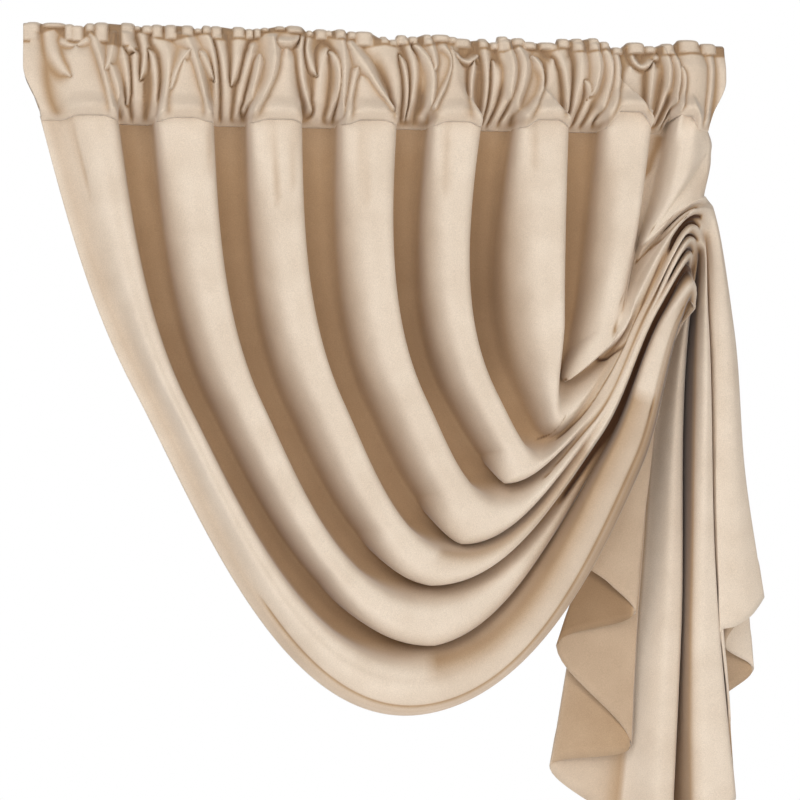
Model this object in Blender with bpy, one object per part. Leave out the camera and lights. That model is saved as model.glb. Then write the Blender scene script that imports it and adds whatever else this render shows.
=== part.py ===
"""A velvet blackout curtain: a gathered rod-pocket heading, and one panel that is swept aside and gathered.

The panel hangs in eight pleats, sweeps to the right in nested swags up to a gather, and falls from
there as a tail whose hems cascade on both sides. X runs along the rod, -Y faces the room, +Z is up,
and the origin is the middle of the heading's top edge, on the rod's axis plane. Table values are in
millimetres.
"""

from collections import namedtuple

import bpy
import numpy as np

MM = 0.001

# Cloth and heading
CLOTH = 1.2
SEAM_GAP = 0.3
SEAM_Z = -112.0
PANEL_STEPS_ACROSS = 4
HEADING_STEPS_ACROSS = 4

# Depth of the pleats below the heading
RIDGE_Y = -26.0
VALLEY_Y = 16.0
EDGE_Y = -8.0
HEM_Y = -11.2

# One row for each fold line of the swag, from the left edge of the cloth to its right edge: where it
# leaves the heading, a place on its way down, and its turn at the bottom of the swag. The kind says which
# way the line stands out, and the bend how round its turn is.
Fold = namedtuple("Fold", "name kind top_x side_x side_z side_y turn_x turn_z turn_y bend boxed")
FOLDS = (
    Fold("left edge", "edge", -384, -282, -410, -9, 56, -783, -6, 1.0, 0.0),
    Fold("side hem", "hem", -369, -265, -406, -14, 57, -770, -30, 1.0, 0.0),
    Fold("pleat 1", "ridge", -317, -234, -424, -34, 52, -740, -40, 1.0, 3.0),
    Fold("valley 1", "valley", -279, -202, -424, 28, 56, -694, 12, 1.0, 3.0),
    Fold("pleat 2", "ridge", -211, -151, -424, -34, 47, -669, -40, 1.0, 3.0),
    Fold("valley 2", "valley", -171, -115, -424, 28, 61, -629, 12, 1.0, 3.0),
    Fold("pleat 3", "ridge", -112, -59, -424, -34, 75, -613, -40, 0.9, 3.0),
    Fold("valley 3", "valley", -69, -20, -424, 28, 100, -579, 12, 0.9, 3.0),
    Fold("pleat 4", "ridge", -4, 37, -424, -34, 124, -556, -40, 0.8, 3.0),
    Fold("valley 4", "valley", 40, 77, -424, 28, 150, -513, 12, 0.8, 2.9),
    Fold("pleat 5", "ridge", 93, 120, -418, -34, 172, -497, -40, 0.6, 2.4),
    Fold("valley 5", "valley", 139, 152, -407, 26, 197, -471, 4, 0.6, 2.0),
    Fold("pleat 6", "ridge", 196, 200, -344, -34, 207, -444, -32, 0.5, 2.0),
    Fold("valley 6", "valley", 242, 231, -295, 22, 221, -397, 4, 0.5, 2.6),
    Fold("pleat 7", "ridge", 297, 285, -239, -30, 267, -353, -32, 0.45, 1.7),
    Fold("valley 7", "valley", 334, 324, -177, 17, 303, -251, 4, 0.5, 1.6),
    Fold("pleat 8", "ridge", 359, 344, -169, -28, 310, -237, -30, 0.5, 0.0),
    Fold("right edge", "edge", 385, 389, -126, -9, 388, -136, -10, 1.0, 0.0),
)

# The same lines from their turn up to the gather: on the arm that rises from the swag, higher up where
# the arms draw close, and where they enter the gather.
Arm = namedtuple("Arm", "name arm_x arm_z arm_y rise_x rise_z rise_y pinch_x pinch_z pinch_y")
ARMS = (
    Arm("left edge", 302, -500, -20, 349, -330, -22, 360, -308, -14),
    Arm("side hem", 289, -493, -40, 341, -328, -40, 360, -302, -22),
    Arm("pleat 1", 266, -478, -46, 329, -325, -44, 359, -290, -34),
    Arm("valley 1", 262, -475, -20, 326, -322, -28, 360, -274, -13),
    Arm("pleat 2", 258, -471, -20, 323, -321, -27, 360, -268, -14),
    Arm("valley 2", 254, -468, -20, 321, -320, -28, 360, -264, -14),
    Arm("pleat 3", 248, -462, -41, 317, -319, -38, 354, -258, -34),
    Arm("valley 3", 244, -458, -37, 314, -317, -36, 360, -248, -16),
    Arm("pleat 4", 240, -455, -41, 312, -316, -37, 356, -239, -34),
    Arm("valley 4", 237, -452, -34, 310, -314, -35, 361, -232, -19),
    Arm("pleat 5", 233, -448, -37, 307, -313, -35, 360, -225, -32),
    Arm("valley 5", 235, -437, -25, 306, -312, -32, 363, -218, -20),
    Arm("pleat 6", 252, -396, -26, 304, -310, -30, 364, -214, -20),
    Arm("valley 6", 265, -368, -16, 300, -308, -31, 365, -210, -20),
    Arm("pleat 7", 280, -338, -36, 293, -307, -36, 362, -205, -30),
    Arm("valley 7", 301, -262, -2, 313, -248, -8, 367, -197, -18),
    Arm("pleat 8", 323, -225, -32, 340, -208, -32, 369, -191, -28),
    Arm("right edge", 387, -148, -11, 384, -162, -12, 378, -184, -14),
)

# The same lines past the gather: their place where the cloth is drawn tightest, where they come out of
# it, and where they end in the hem. A bow carries a line sideways between those last two.
Tail = namedtuple("Tail", "name tie_x tie_z tie_y exit_x exit_z exit_y hem_x hem_z hem_y bow")
TAILS = (
    Tail("front layer, hidden end", 372, -316, 2, 338, -356, -1, 241, -618, 1, 0),
    Tail("front layer", 373, -309, 4, 342, -356, 0, 272, -640, 2, 0),
    Tail("first right fold", 374, -302, 6, 347, -358, 7, 301, -676, 10, -6),
    Tail("first left fold", 373, -294, 10, 338, -358, 15, 211, -712, 20, -4),
    Tail("second right fold", 373, -286, 13, 347, -358, 23, 302, -832, 28, -8),
    Tail("second left fold", 370, -278, 18, 339, -358, 31, 207, -855, 37, -18),
    Tail("back layer", 373, -269, 24, 350, -358, 39, 286, -920, 44, -2),
    Tail("left column", 377, -260, 13, 363, -352, 17, 327, -938, 2, 0),
    Tail("deep slot", 381, -251, 18, 373, -350, 36, 350, -945, 40, 3),
    Tail("front column", 383, -243, 1, 382, -334, -10, 388, -932, -12, -5),
    Tail("narrow slot", 386, -234, 8, 391, -340, 12, 424, -885, 14, -10),
    Tail("right column, inner side", 388, -225, 0, 397, -335, -4, 401, -696, -6, -3),
    Tail("right column", 389, -216, -2, 404, -338, -8, 418, -689, -9, 0),
    Tail("right column, outer side", 390, -208, -3, 412, -340, -6, 439, -676, -6, -3),
    Tail("first outer fold", 392, -201, -1, 420, -341, 4, 456, -657, 5, -6),
    Tail("outer left fold", 392, -195, 4, 411, -342, 16, 414, -713, 19, 0),
    Tail("second outer fold", 390, -190, 10, 418, -342, 25, 451, -744, 28, 0),
    Tail("right edge", 386, -186, 12, 404, -342, 33, 418, -776, 37, 0),
)

# Stations along the cloth: how many rows of faces lead to the next one, and how full the folds are
Station = namedtuple("Station", "name rows fullness")
STATIONS = (
    Station("top", 4, 1.15),
    Station("side", 10, 1.35),
    Station("turn", 8, 1.1),
    Station("arm", 4, 0.9),
    Station("rise", 3, 0.8),
    Station("pinch", 3, 0.7),
    Station("tie", 3, 0.6),
    Station("exit", 3, 0.9),
    Station("fall", 3, 1.1),
    Station("hem", 0, 1.1),
)
TURN = 2
TIE = 6
TIE_LOOSENESS = 0.4
FALL_SHARE = 0.55

# Section of the pleats, from a ridge down to the next valley and from a valley up to the next ridge, at
# places down the cloth from station 0 on: three points of the wall, each as its share of the way across and
# of the way to the next line's depth. Further down than its boxed place a fold is a rounded wave.
Section = namedtuple("Section", "place across_1 deep_1 across_2 deep_2 across_3 deep_3")
WALLS_DOWN = (
    Section(0.0, 0.42, 0.10, 0.50, 0.92, 0.75, 1.0),
    Section(1.0, 0.30, 0.08, 0.38, 0.92, 0.68, 1.0),
    Section(1.7, 0.30, 0.08, 0.40, 0.80, 0.68, 1.0),
    Section(2.0, 0.30, 0.08, 0.58, 0.50, 0.86, 0.90),
    Section(3.0, 0.30, 0.08, 0.60, 0.45, 0.85, 0.85),
)
WALLS_UP = (
    Section(0.0, 0.28, 0.04, 0.38, 0.90, 0.66, 1.0),
    Section(0.35, 0.22, 0.06, 0.38, 0.60, 0.68, 0.97),
    Section(1.0, 0.14, 0.08, 0.36, 0.52, 0.66, 0.94),
    Section(1.6, 0.14, 0.08, 0.36, 0.52, 0.66, 0.94),
    Section(2.0, -0.30, 0.35, -0.38, 0.75, 0.20, 0.98),
    Section(3.0, -0.1, 0.35, 0.0, 0.75, 0.4, 0.98),
)
FIRST_PLEAT = 2
LAST_PLEAT = 16

# The share of the first stretch over which the pleats set in below the stitch line
PLEATS_SET_IN = 0.25

# The same for the tail's columns and the slots between them, and where their section has set in
COLUMNS_DOWN = (
    Section(6.0, 0.30, 0.16, 0.55, 0.55, 0.80, 0.88),
    Section(8.0, 0.44, 0.05, 0.80, 0.16, 0.93, 0.62),
    Section(9.0, 0.44, 0.05, 0.80, 0.16, 0.93, 0.62),
)
COLUMNS_UP = (
    Section(6.0, 0.20, 0.12, 0.45, 0.45, 0.70, 0.84),
    Section(8.0, 0.07, 0.38, 0.20, 0.84, 0.56, 0.95),
    Section(9.0, 0.38, 0.50, 0.50, 0.90, 0.76, 0.97),
)
FIRST_COLUMN = 7
LAST_COLUMN = 11
COLUMN_START = 6.6

# Heading: the doubled band's outer half depth and how far it follows the pleats, from its stitch line up
Band = namedtuple("Band", "z half_depth follow ledge")
BANDS = (
    Band(SEAM_Z + SEAM_GAP, 2.2, 1.0, 0.1),
    Band(-104.0, 7.5, 0.9, 0.9),
    Band(-94.0, 14.0, 0.6, 1.0),
    Band(-78.0, 19.5, 0.3, 0.45),
    Band(-52.0, 22.0, 0.12, 0.2),
    Band(-15.0, 19.5, 0.1, 0.0),
    Band(-3.5, 11.0, 0.1, 0.0),
)
HEADING_TOP_LEFT = -404.0
HEADING_TOP_RIGHT = 404.0
LEDGE_DEPTH = 9.0
EVENING_HEIGHT = 60.0
SEAM_CLOSING = 5.5
INNER_SEAM_HALF = 0.6


def smoothstep(value):
    """Eases from 0 to 1."""
    value = np.clip(value, 0.0, 1.0)
    return value * value * (3.0 - 2.0 * value)


def hermite(start, end, start_tangent, end_tangent, t):
    """Points of one cubic piece at parameters t, which run along a new first axis."""
    t = t.reshape((-1,) + (1,) * start.ndim)
    rise = t * t * (3.0 - 2.0 * t)
    leave = t * (1.0 - t) ** 2
    arrive = t * t * (t - 1.0)
    return start * (1.0 - rise) + end * rise + start_tangent * leave + end_tangent * arrive


def depth_at_top(fold):
    """Depth of a fold line where it leaves the heading."""
    return {"ridge": RIDGE_Y, "valley": VALLEY_Y, "edge": EDGE_Y, "hem": HEM_Y}[fold.kind]


def station_points():
    """Place of each fold line at each station: an array of stations by lines by X, Y and Z."""
    points = []
    for fold, arm, tail in zip(FOLDS, ARMS, TAILS):
        top_y = depth_at_top(fold)
        start = np.array((tail.exit_x, tail.exit_y, tail.exit_z), float)
        end = np.array((tail.hem_x, tail.hem_y, tail.hem_z), float)
        fall = start + (end - start) * FALL_SHARE + np.array((tail.bow, 0.0, 0.0))
        points.append((
            (fold.top_x, top_y, SEAM_Z),
            (fold.side_x, fold.side_y, fold.side_z),
            (fold.turn_x, fold.turn_y, fold.turn_z),
            (arm.arm_x, arm.arm_y, arm.arm_z),
            (arm.rise_x, arm.rise_y, arm.rise_z),
            (arm.pinch_x, arm.pinch_y, arm.pinch_z),
            (tail.tie_x, tail.tie_y, tail.tie_z),
            tuple(start),
            tuple(fall),
            tuple(end),
        ))
    return np.array(points, float).transpose(1, 0, 2)


def run_along(points):
    """Rows of points along the fold lines, the folds' fullness there, and each row's place by station."""
    chords = np.diff(points, axis=0)
    lengths = np.linalg.norm(chords, axis=2, keepdims=True)
    slopes = chords / lengths
    tangents = np.empty_like(points)
    near, far = lengths[:-1], lengths[1:]
    tangents[1:-1] = (slopes[:-1] * far + slopes[1:] * near) / (near + far)
    tangents[0] = slopes[0] + (slopes[0] - tangents[1]) / 2.0
    tangents[-1] = slopes[-1]
    tangents[TURN] /= np.linalg.norm(tangents[TURN], axis=1, keepdims=True)
    bends = np.array([fold.bend for fold in FOLDS])[:, None]
    rows, fullness, places = [], [], []
    for index, station in enumerate(STATIONS[:-1]):
        leave = tangents[index] * lengths[index]
        arrive = tangents[index + 1] * lengths[index]
        if index == TURN:
            leave = leave * bends
        if index == TIE:
            leave = leave * TIE_LOOSENESS
        if index + 1 == TURN:
            arrive = arrive * bends
        t = np.arange(station.rows) / station.rows
        rows.append(hermite(points[index], points[index + 1], leave, arrive, t))
        following = STATIONS[index + 1].fullness
        fullness.append(station.fullness + (following - station.fullness) * t)
        places.append(index + t)
    rows.append(points[-1:])
    fullness.append(np.array([STATIONS[-1].fullness]))
    places.append(np.array([len(STATIONS) - 1.0]))
    return np.concatenate(rows), np.concatenate(fullness), np.concatenate(places)


def run_across(lines, fullness, steps):
    """A finer row of points across each row of fold lines, rounded over every ridge and valley."""
    chords = np.diff(lines, axis=1)
    lengths = np.linalg.norm(chords, axis=2, keepdims=True)
    slopes = np.empty_like(lines)
    slopes[:, 1:-1] = (chords[:, :-1] + chords[:, 1:]) / (lengths[:, :-1] + lengths[:, 1:])
    slopes[:, 0] = chords[:, 0] / lengths[:, 0]
    slopes[:, -1] = chords[:, -1] / lengths[:, -1]
    reach = lengths * fullness[:, None, None]
    t = np.arange(steps) / steps
    pieces = hermite(lines[:, :-1], lines[:, 1:], slopes[:, :-1] * reach, slopes[:, 1:] * reach, t)
    pieces = pieces.transpose(1, 2, 0, 3).reshape(len(lines), -1, 3)
    return np.concatenate((pieces, lines[:, -1:]), axis=1)


def section_points(sections, places):
    """Shares across and deep of the five points of a wall, for each row."""
    known = [section.place for section in sections]
    columns = []
    for field in Section._fields[1:]:
        columns.append(np.interp(places, known, [getattr(section, field) for section in sections]))
    zero, one = np.zeros_like(places), np.ones_like(places)
    across = np.stack((zero, *columns[0::2], one))
    deep = np.stack((zero, *columns[1::2], one))
    return np.stack((across, deep), axis=2)


def section_curve(knots, steps):
    """The smooth curve through the five points of a wall, in steps pieces, for each row."""
    level = np.array((1.0, 0.0))
    slopes = np.empty_like(knots)
    slopes[1:-1] = (knots[2:] - knots[:-2]) / 2.0
    slopes[0] = (knots[1] - knots[0]) * level
    slopes[-1] = (knots[-1] - knots[-2]) * level
    count = steps // (len(knots) - 1)
    t = np.arange(count) / count
    pieces = hermite(knots[:-1], knots[1:], slopes[:-1], slopes[1:], t)
    return pieces.transpose(1, 0, 2, 3).reshape(steps, -1, 2)


def fold_piece(grid, lines, index, shares, weight):
    """Moves the cloth between one fold line and the next to its section, as far as the weight says."""
    start, end = lines[:, index], lines[:, index + 1]
    across, deep = shares[:, :, 0].T[:, :, None], shares[:, :, 1].T[:, :, None]
    folded = start[:, None] + (end - start)[:, None] * np.concatenate((across, deep, across), axis=2)
    steps = len(shares)
    piece = slice(index * steps, (index + 1) * steps)
    grid[:, piece] += (folded - grid[:, piece]) * weight[:, None, None]


def fold_pleats(grid, lines, places, steps):
    """Gives the rounded waves of the pleats and columns the walls and floors of their sections."""
    for index in range(FIRST_PLEAT, LAST_PLEAT):
        sections = WALLS_DOWN if FOLDS[index].kind == "ridge" else WALLS_UP
        shares = section_curve(section_points(sections, places), steps)
        weight = smoothstep(FOLDS[index].boxed - places) * smoothstep(places / PLEATS_SET_IN)
        fold_piece(grid, lines, index, shares, weight)
    for index in range(FIRST_COLUMN, LAST_COLUMN):
        sections = COLUMNS_DOWN if TAILS[index].name.endswith("column") else COLUMNS_UP
        shares = section_curve(section_points(sections, places), steps)
        fold_piece(grid, lines, index, shares, smoothstep(places - COLUMN_START))
    return grid


def panel_surface(steps):
    """The panel's middle surface, as a grid of points in millimetres."""
    lines, fullness, places = run_along(station_points())
    return fold_pleats(run_across(lines, fullness, steps), lines, places, steps)


def unit(vectors):
    """The same vectors at length 1."""
    return vectors / np.linalg.norm(vectors, axis=-1, keepdims=True)


def surface_normals(grid):
    """Unit normals of a grid of points, each the mean of both sides, so that a sharp fold keeps its own."""
    steps = unit(np.diff(grid, axis=0))
    down = unit(np.concatenate((steps[:1], steps[:-1] + steps[1:], steps[-1:])))
    chords = np.diff(grid, axis=1)
    normals = np.zeros_like(grid)
    normals[:, :-1] += unit(np.cross(down[:, :-1], chords))
    normals[:, 1:] += unit(np.cross(down[:, 1:], chords))
    return unit(normals)


def split_quads(quads, points):
    """Two triangles for each quad, cut along its shorter diagonal."""
    first = np.linalg.norm(points[quads[:, 0]] - points[quads[:, 2]], axis=1)
    second = np.linalg.norm(points[quads[:, 1]] - points[quads[:, 3]], axis=1)
    turned = np.where((second < first)[:, None], np.roll(quads, -1, axis=1), quads)
    return np.concatenate((turned[:, [0, 1, 2]], turned[:, [0, 2, 3]]))


def sheet_faces(middle):
    """Triangles of a sheet with a front grid, then a back grid cut alike, closed along its four edges."""
    rows, columns, _ = middle.shape
    count = rows * columns
    index = np.arange(count).reshape(rows, columns)
    quads = np.stack((index[:-1, :-1], index[1:, :-1], index[1:, 1:], index[:-1, 1:]), axis=2).reshape(-1, 4)
    front = split_quads(quads, middle.reshape(-1, 3))
    back = front[:, ::-1] + count
    rim = np.concatenate((index[:, 0], index[-1, 1:], index[-2::-1, -1], index[0, -2:0:-1]))
    following = np.roll(rim, -1)
    edge = np.concatenate((
        np.stack((following, rim, rim + count), axis=1),
        np.stack((following, rim + count, following + count), axis=1),
    ))
    return np.concatenate((front, back, edge))


def loop_faces(outer):
    """Triangles of a tube of rings of points: an outer skin, then an inner one, joined at both ends."""
    rings, points, _ = outer.shape
    count = rings * points
    index = np.arange(count).reshape(rings, points)
    following = np.roll(index, -1, axis=1)
    quads = np.stack((index[:-1], index[1:], following[1:], following[:-1]), axis=2).reshape(-1, 4)
    outside = split_quads(quads, outer.reshape(-1, 3))
    inside = outside[:, ::-1] + count
    ends = np.concatenate((
        np.stack((index[0], following[0], following[0] + count), axis=1),
        np.stack((index[0], following[0] + count, index[0] + count), axis=1),
        np.stack((following[-1], index[-1], index[-1] + count), axis=1),
        np.stack((following[-1], index[-1] + count, following[-1] + count), axis=1),
    ))
    return np.concatenate((outside, inside, ends))


def add_solid(name, points, faces, material):
    """A closed mesh object from points in millimetres, with its faces turned outwards."""
    if np.linalg.det(points[faces]).sum() < 0.0:
        faces = faces[:, ::-1]
    mesh = bpy.data.meshes.new(name)
    mesh.from_pydata((points * MM).tolist(), [], faces.tolist())
    mesh.materials.append(material)
    mesh.shade_smooth()
    mesh.update()
    solid = bpy.data.objects.new(name, mesh)
    bpy.context.scene.collection.objects.link(solid)
    return solid


def velvet():
    """Cream velvet."""
    material = bpy.data.materials.new("cream_velvet")
    material.use_nodes = True
    shader = material.node_tree.nodes["Principled BSDF"]
    shader.inputs["Base Color"].default_value = (0.72, 0.60, 0.47, 1.0)
    shader.inputs["Roughness"].default_value = 0.85
    shader.inputs["Metallic"].default_value = 0.0
    return material


def add_panel(material):
    """The draped panel, as a sheet of the cloth's thickness about its middle surface."""
    middle = panel_surface(PANEL_STEPS_ACROSS)
    offset = surface_normals(middle) * CLOTH / 2.0
    offset[0, :, 2] = 0.0
    points = np.concatenate(((middle + offset).reshape(-1, 3), (middle - offset).reshape(-1, 3)))
    return add_solid("panel", points, sheet_faces(middle), material)


def seam_line(steps):
    """The stitch line under the heading, which the panel's top edge follows."""
    return panel_surface(steps)[0]


def heading_ring(place, share, ridge, inset):
    """One closed ring of the doubled band, in millimetres: up its front, over the top and down its back."""
    top_x = HEADING_TOP_LEFT + (HEADING_TOP_RIGHT - HEADING_TOP_LEFT) * share
    front, back = [], []
    for band in BANDS:
        x = place[0] + (top_x - place[0]) * smoothstep((band.z - SEAM_Z) / EVENING_HEIGHT)
        middle = place[1] * band.follow
        z = band.z
        half = band.half_depth - inset
        if band is BANDS[0] and inset:
            z += SEAM_CLOSING
            half = INNER_SEAM_HALF
        front.append((x, middle - half - LEDGE_DEPTH * ridge * band.ledge, z))
        back.append((x, middle + half, z))
    return front + [(top_x, 0.0, -inset)] + back[::-1]


def add_heading(material):
    """The gathered rod pocket: a hollow doubled band, open at both ends and stitched along its foot."""
    seam = seam_line(HEADING_STEPS_ACROSS)
    shares = np.linspace(0.0, 1.0, len(seam))
    ridges = smoothstep((VALLEY_Y - seam[:, 1]) / (VALLEY_Y - RIDGE_Y))
    rings = {}
    for inset in (0.0, CLOTH):
        rings[inset] = [
            heading_ring(place, share, ridge, inset)
            for place, share, ridge in zip(seam, shares, ridges)
        ]
    outer = np.array(rings[0.0])
    inner = np.array(rings[CLOTH])
    points = np.concatenate((outer.reshape(-1, 3), inner.reshape(-1, 3)))
    return add_solid("heading", points, loop_faces(outer), material)


def main():
    """Clears the scene and models the curtain."""
    for leftover in list(bpy.data.objects):
        bpy.data.objects.remove(leftover, do_unlink=True)
    material = velvet()
    add_heading(material)
    add_panel(material)


main()
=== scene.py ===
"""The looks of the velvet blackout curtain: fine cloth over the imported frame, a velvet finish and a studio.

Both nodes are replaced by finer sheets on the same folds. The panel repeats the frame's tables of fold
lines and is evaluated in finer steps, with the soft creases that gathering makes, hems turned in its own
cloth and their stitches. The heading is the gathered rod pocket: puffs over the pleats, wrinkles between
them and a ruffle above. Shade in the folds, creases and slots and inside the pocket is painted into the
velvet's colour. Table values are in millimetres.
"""

import math
from collections import namedtuple

import bpy
import numpy as np
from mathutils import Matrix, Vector


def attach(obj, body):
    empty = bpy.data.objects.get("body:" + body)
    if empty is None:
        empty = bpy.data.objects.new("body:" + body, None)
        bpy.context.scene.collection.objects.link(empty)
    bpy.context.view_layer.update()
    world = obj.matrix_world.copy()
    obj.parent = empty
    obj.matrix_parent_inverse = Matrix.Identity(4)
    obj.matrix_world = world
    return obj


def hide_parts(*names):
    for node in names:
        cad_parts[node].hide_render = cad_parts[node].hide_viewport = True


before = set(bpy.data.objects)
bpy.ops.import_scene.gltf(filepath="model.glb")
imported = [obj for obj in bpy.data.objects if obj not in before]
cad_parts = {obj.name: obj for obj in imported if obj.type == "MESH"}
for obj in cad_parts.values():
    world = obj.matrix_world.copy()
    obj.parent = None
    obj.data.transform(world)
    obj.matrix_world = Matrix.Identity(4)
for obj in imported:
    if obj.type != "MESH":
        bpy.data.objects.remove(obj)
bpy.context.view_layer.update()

MM = 0.001


def table(columns, *rows):
    """Rows of values whose columns have names."""
    row_type = namedtuple("Row", columns)
    return [row_type(*row) for row in rows]


# Camera, as the photograph was taken, in metres and degrees
CAMERA_TARGET = (0.0228, 0.0, -0.424)
CAMERA_DISTANCE = 2.5
CAMERA_AZIMUTH = -8.0
HALF_VIEW = 0.46

# Floor of the studio, in metres
FLOOR_Z = -1.35
FLOOR_RADIUS = 2.4
FLOOR_STEPS = 96

# Soft square lights, in degrees from straight ahead and metres and watts, and the sky that fills the shade
LIGHTS = table(
    "name azimuth elevation distance size watts colour",
    ("key", -36.0, 34.0, 3.0, 2.6, 50.0, (1.0, 0.99, 0.975)),
    ("fill", 20.0, 10.0, 3.2, 1.6, 35.0, (1.0, 0.95, 0.89)),
    ("back", 165.0, 25.0, 3.2, 2.0, 45.0, (1.0, 0.98, 0.95)),
)
SKY_COLOUR = (1.0, 0.86, 0.72, 1.0)
SKY_STRENGTH = 0.13
WHITE = (1.0, 1.0, 1.0, 1.0)
FLOOR_FINISH = {
    "Base Color": (0.92, 0.92, 0.92, 1.0),
    "Roughness": 1.0,
    "Emission Color": WHITE,
    "Emission Strength": 0.55,
}

# Velvet: patches of its pile, its grain, and painted shade from a crest over a fold's floor to the deepest
# slot
DEEPEST = 2.0
STOP = "position colour"
PATCHES = table(STOP, (0.3, (0.74, 0.635, 0.525, 1.0)), (0.7, (0.82, 0.72, 0.61, 1.0)))
GRAINS = table(STOP, (0.3, (0.9, 0.9, 0.9, 1.0)), (0.7, (1.06, 1.06, 1.06, 1.0)))
# Painted shade: white on a crest, brown on a fold's floor, near black in the deepest slot
PAINTED_FOLD_SHADES = table(
    STOP,
    (0.0, WHITE),
    (1.0 / DEEPEST, (0.58, 0.45, 0.32, 1.0)),
    (1.0, (0.13, 0.07, 0.04, 1.0)),
)
PATCH_SCALE, PATCH_DETAIL = 22.0, 4.0
GRAIN_SCALE, GRAIN_DETAIL = 900.0, 2.0
GRAIN_BUMP, GRAIN_HEIGHT = 0.35, 0.0004
VELVET_FINISH = {
    "Roughness": 0.9,
    "Specular IOR Level": 0.15,
    "Sheen Weight": 0.5,
    "Sheen Roughness": 0.45,
    "Sheen Tint": (1.0, 0.98, 0.96, 1.0),
}

# Cloth
CLOTH = 1.2
SEAM_Z = -112.0
SIDE_HEM = 21.0
BOTTOM_HEM = 48.0
HEM_SWELL = 0.7
HEM_STEP = 2.0
STITCH_INSET = 3.0
STITCH_SINK = 0.7
STITCH_WIDTH = 2.2

# Depth of a fold at which its floor gets the painted shade of a deep fold, by station
DEEP_FOLDS = table(
    "place depth",
    (0.0, 46.0),
    (1.0, 54.0),
    (2.0, 50.0),
    (2.6, 30.0),
    (3.0, 18.0),
    (4.0, 9.0),
    (5.0, 8.0),
    (6.0, 12.0),
)

# From this station on the folds lie close, so their crests are looked for further across when painting shade
ARM_START = 2.2
ARM_STEPS_ACROSS = 24

# Share of that painted shade which a floor shows, along the fold lines' numbers: the last valley is wide and
# light
FLOOR_SHARES = table(
    "line share",
    (0.0, 1.0),
    (14.0, 1.0),
    (14.5, 0.15),
    (17.0, 0.15),
)

# Painted shade of the tail: along the fold lines' numbers, from 0 on a crest to 2 in the deepest slot
PAINTED_TAIL_SHADES = table(
    "line tone",
    (0.0, 0.7),
    (1.8, 0.6),
    (2.0, 0.7),
    (2.1, 1.35),
    (2.9, 1.15),
    (3.0, 0.7),
    (3.9, 0.7),
    (4.0, 0.7),
    (4.1, 0.95),
    (4.9, 0.8),
    (5.0, 0.35),
    (5.8, 0.45),
    (5.97, 0.9),
    (6.06, 0.9),
    (6.15, 0.1),
    (7.3, 0.0),
    (7.7, 0.4),
    (7.85, 2.0),
    (8.4, 2.0),
    (8.6, 0.3),
    (8.8, 0.0),
    (9.5, 0.0),
    (9.9, 1.4),
    (10.1, 1.4),
    (10.5, 0.0),
    (14.0, 0.0),
    (14.1, 0.9),
    (14.9, 0.6),
    (15.0, 0.1),
    (15.9, 0.0),
    (16.0, 0.5),
    (16.1, 0.9),
    (17.0, 0.7),
)
TAIL_START = 6.0
TAIL_FADE = 0.8

# The deep slot's edges among the fold lines' numbers, and the share of its painted shade that it loses
# towards its foot
SLOT_EDGES = (7.5, 7.8, 8.5, 8.8)
SLOT_TOP = 7.3
SLOT_REACH = 1.4
SLOT_LIGHT = 0.4
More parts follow.
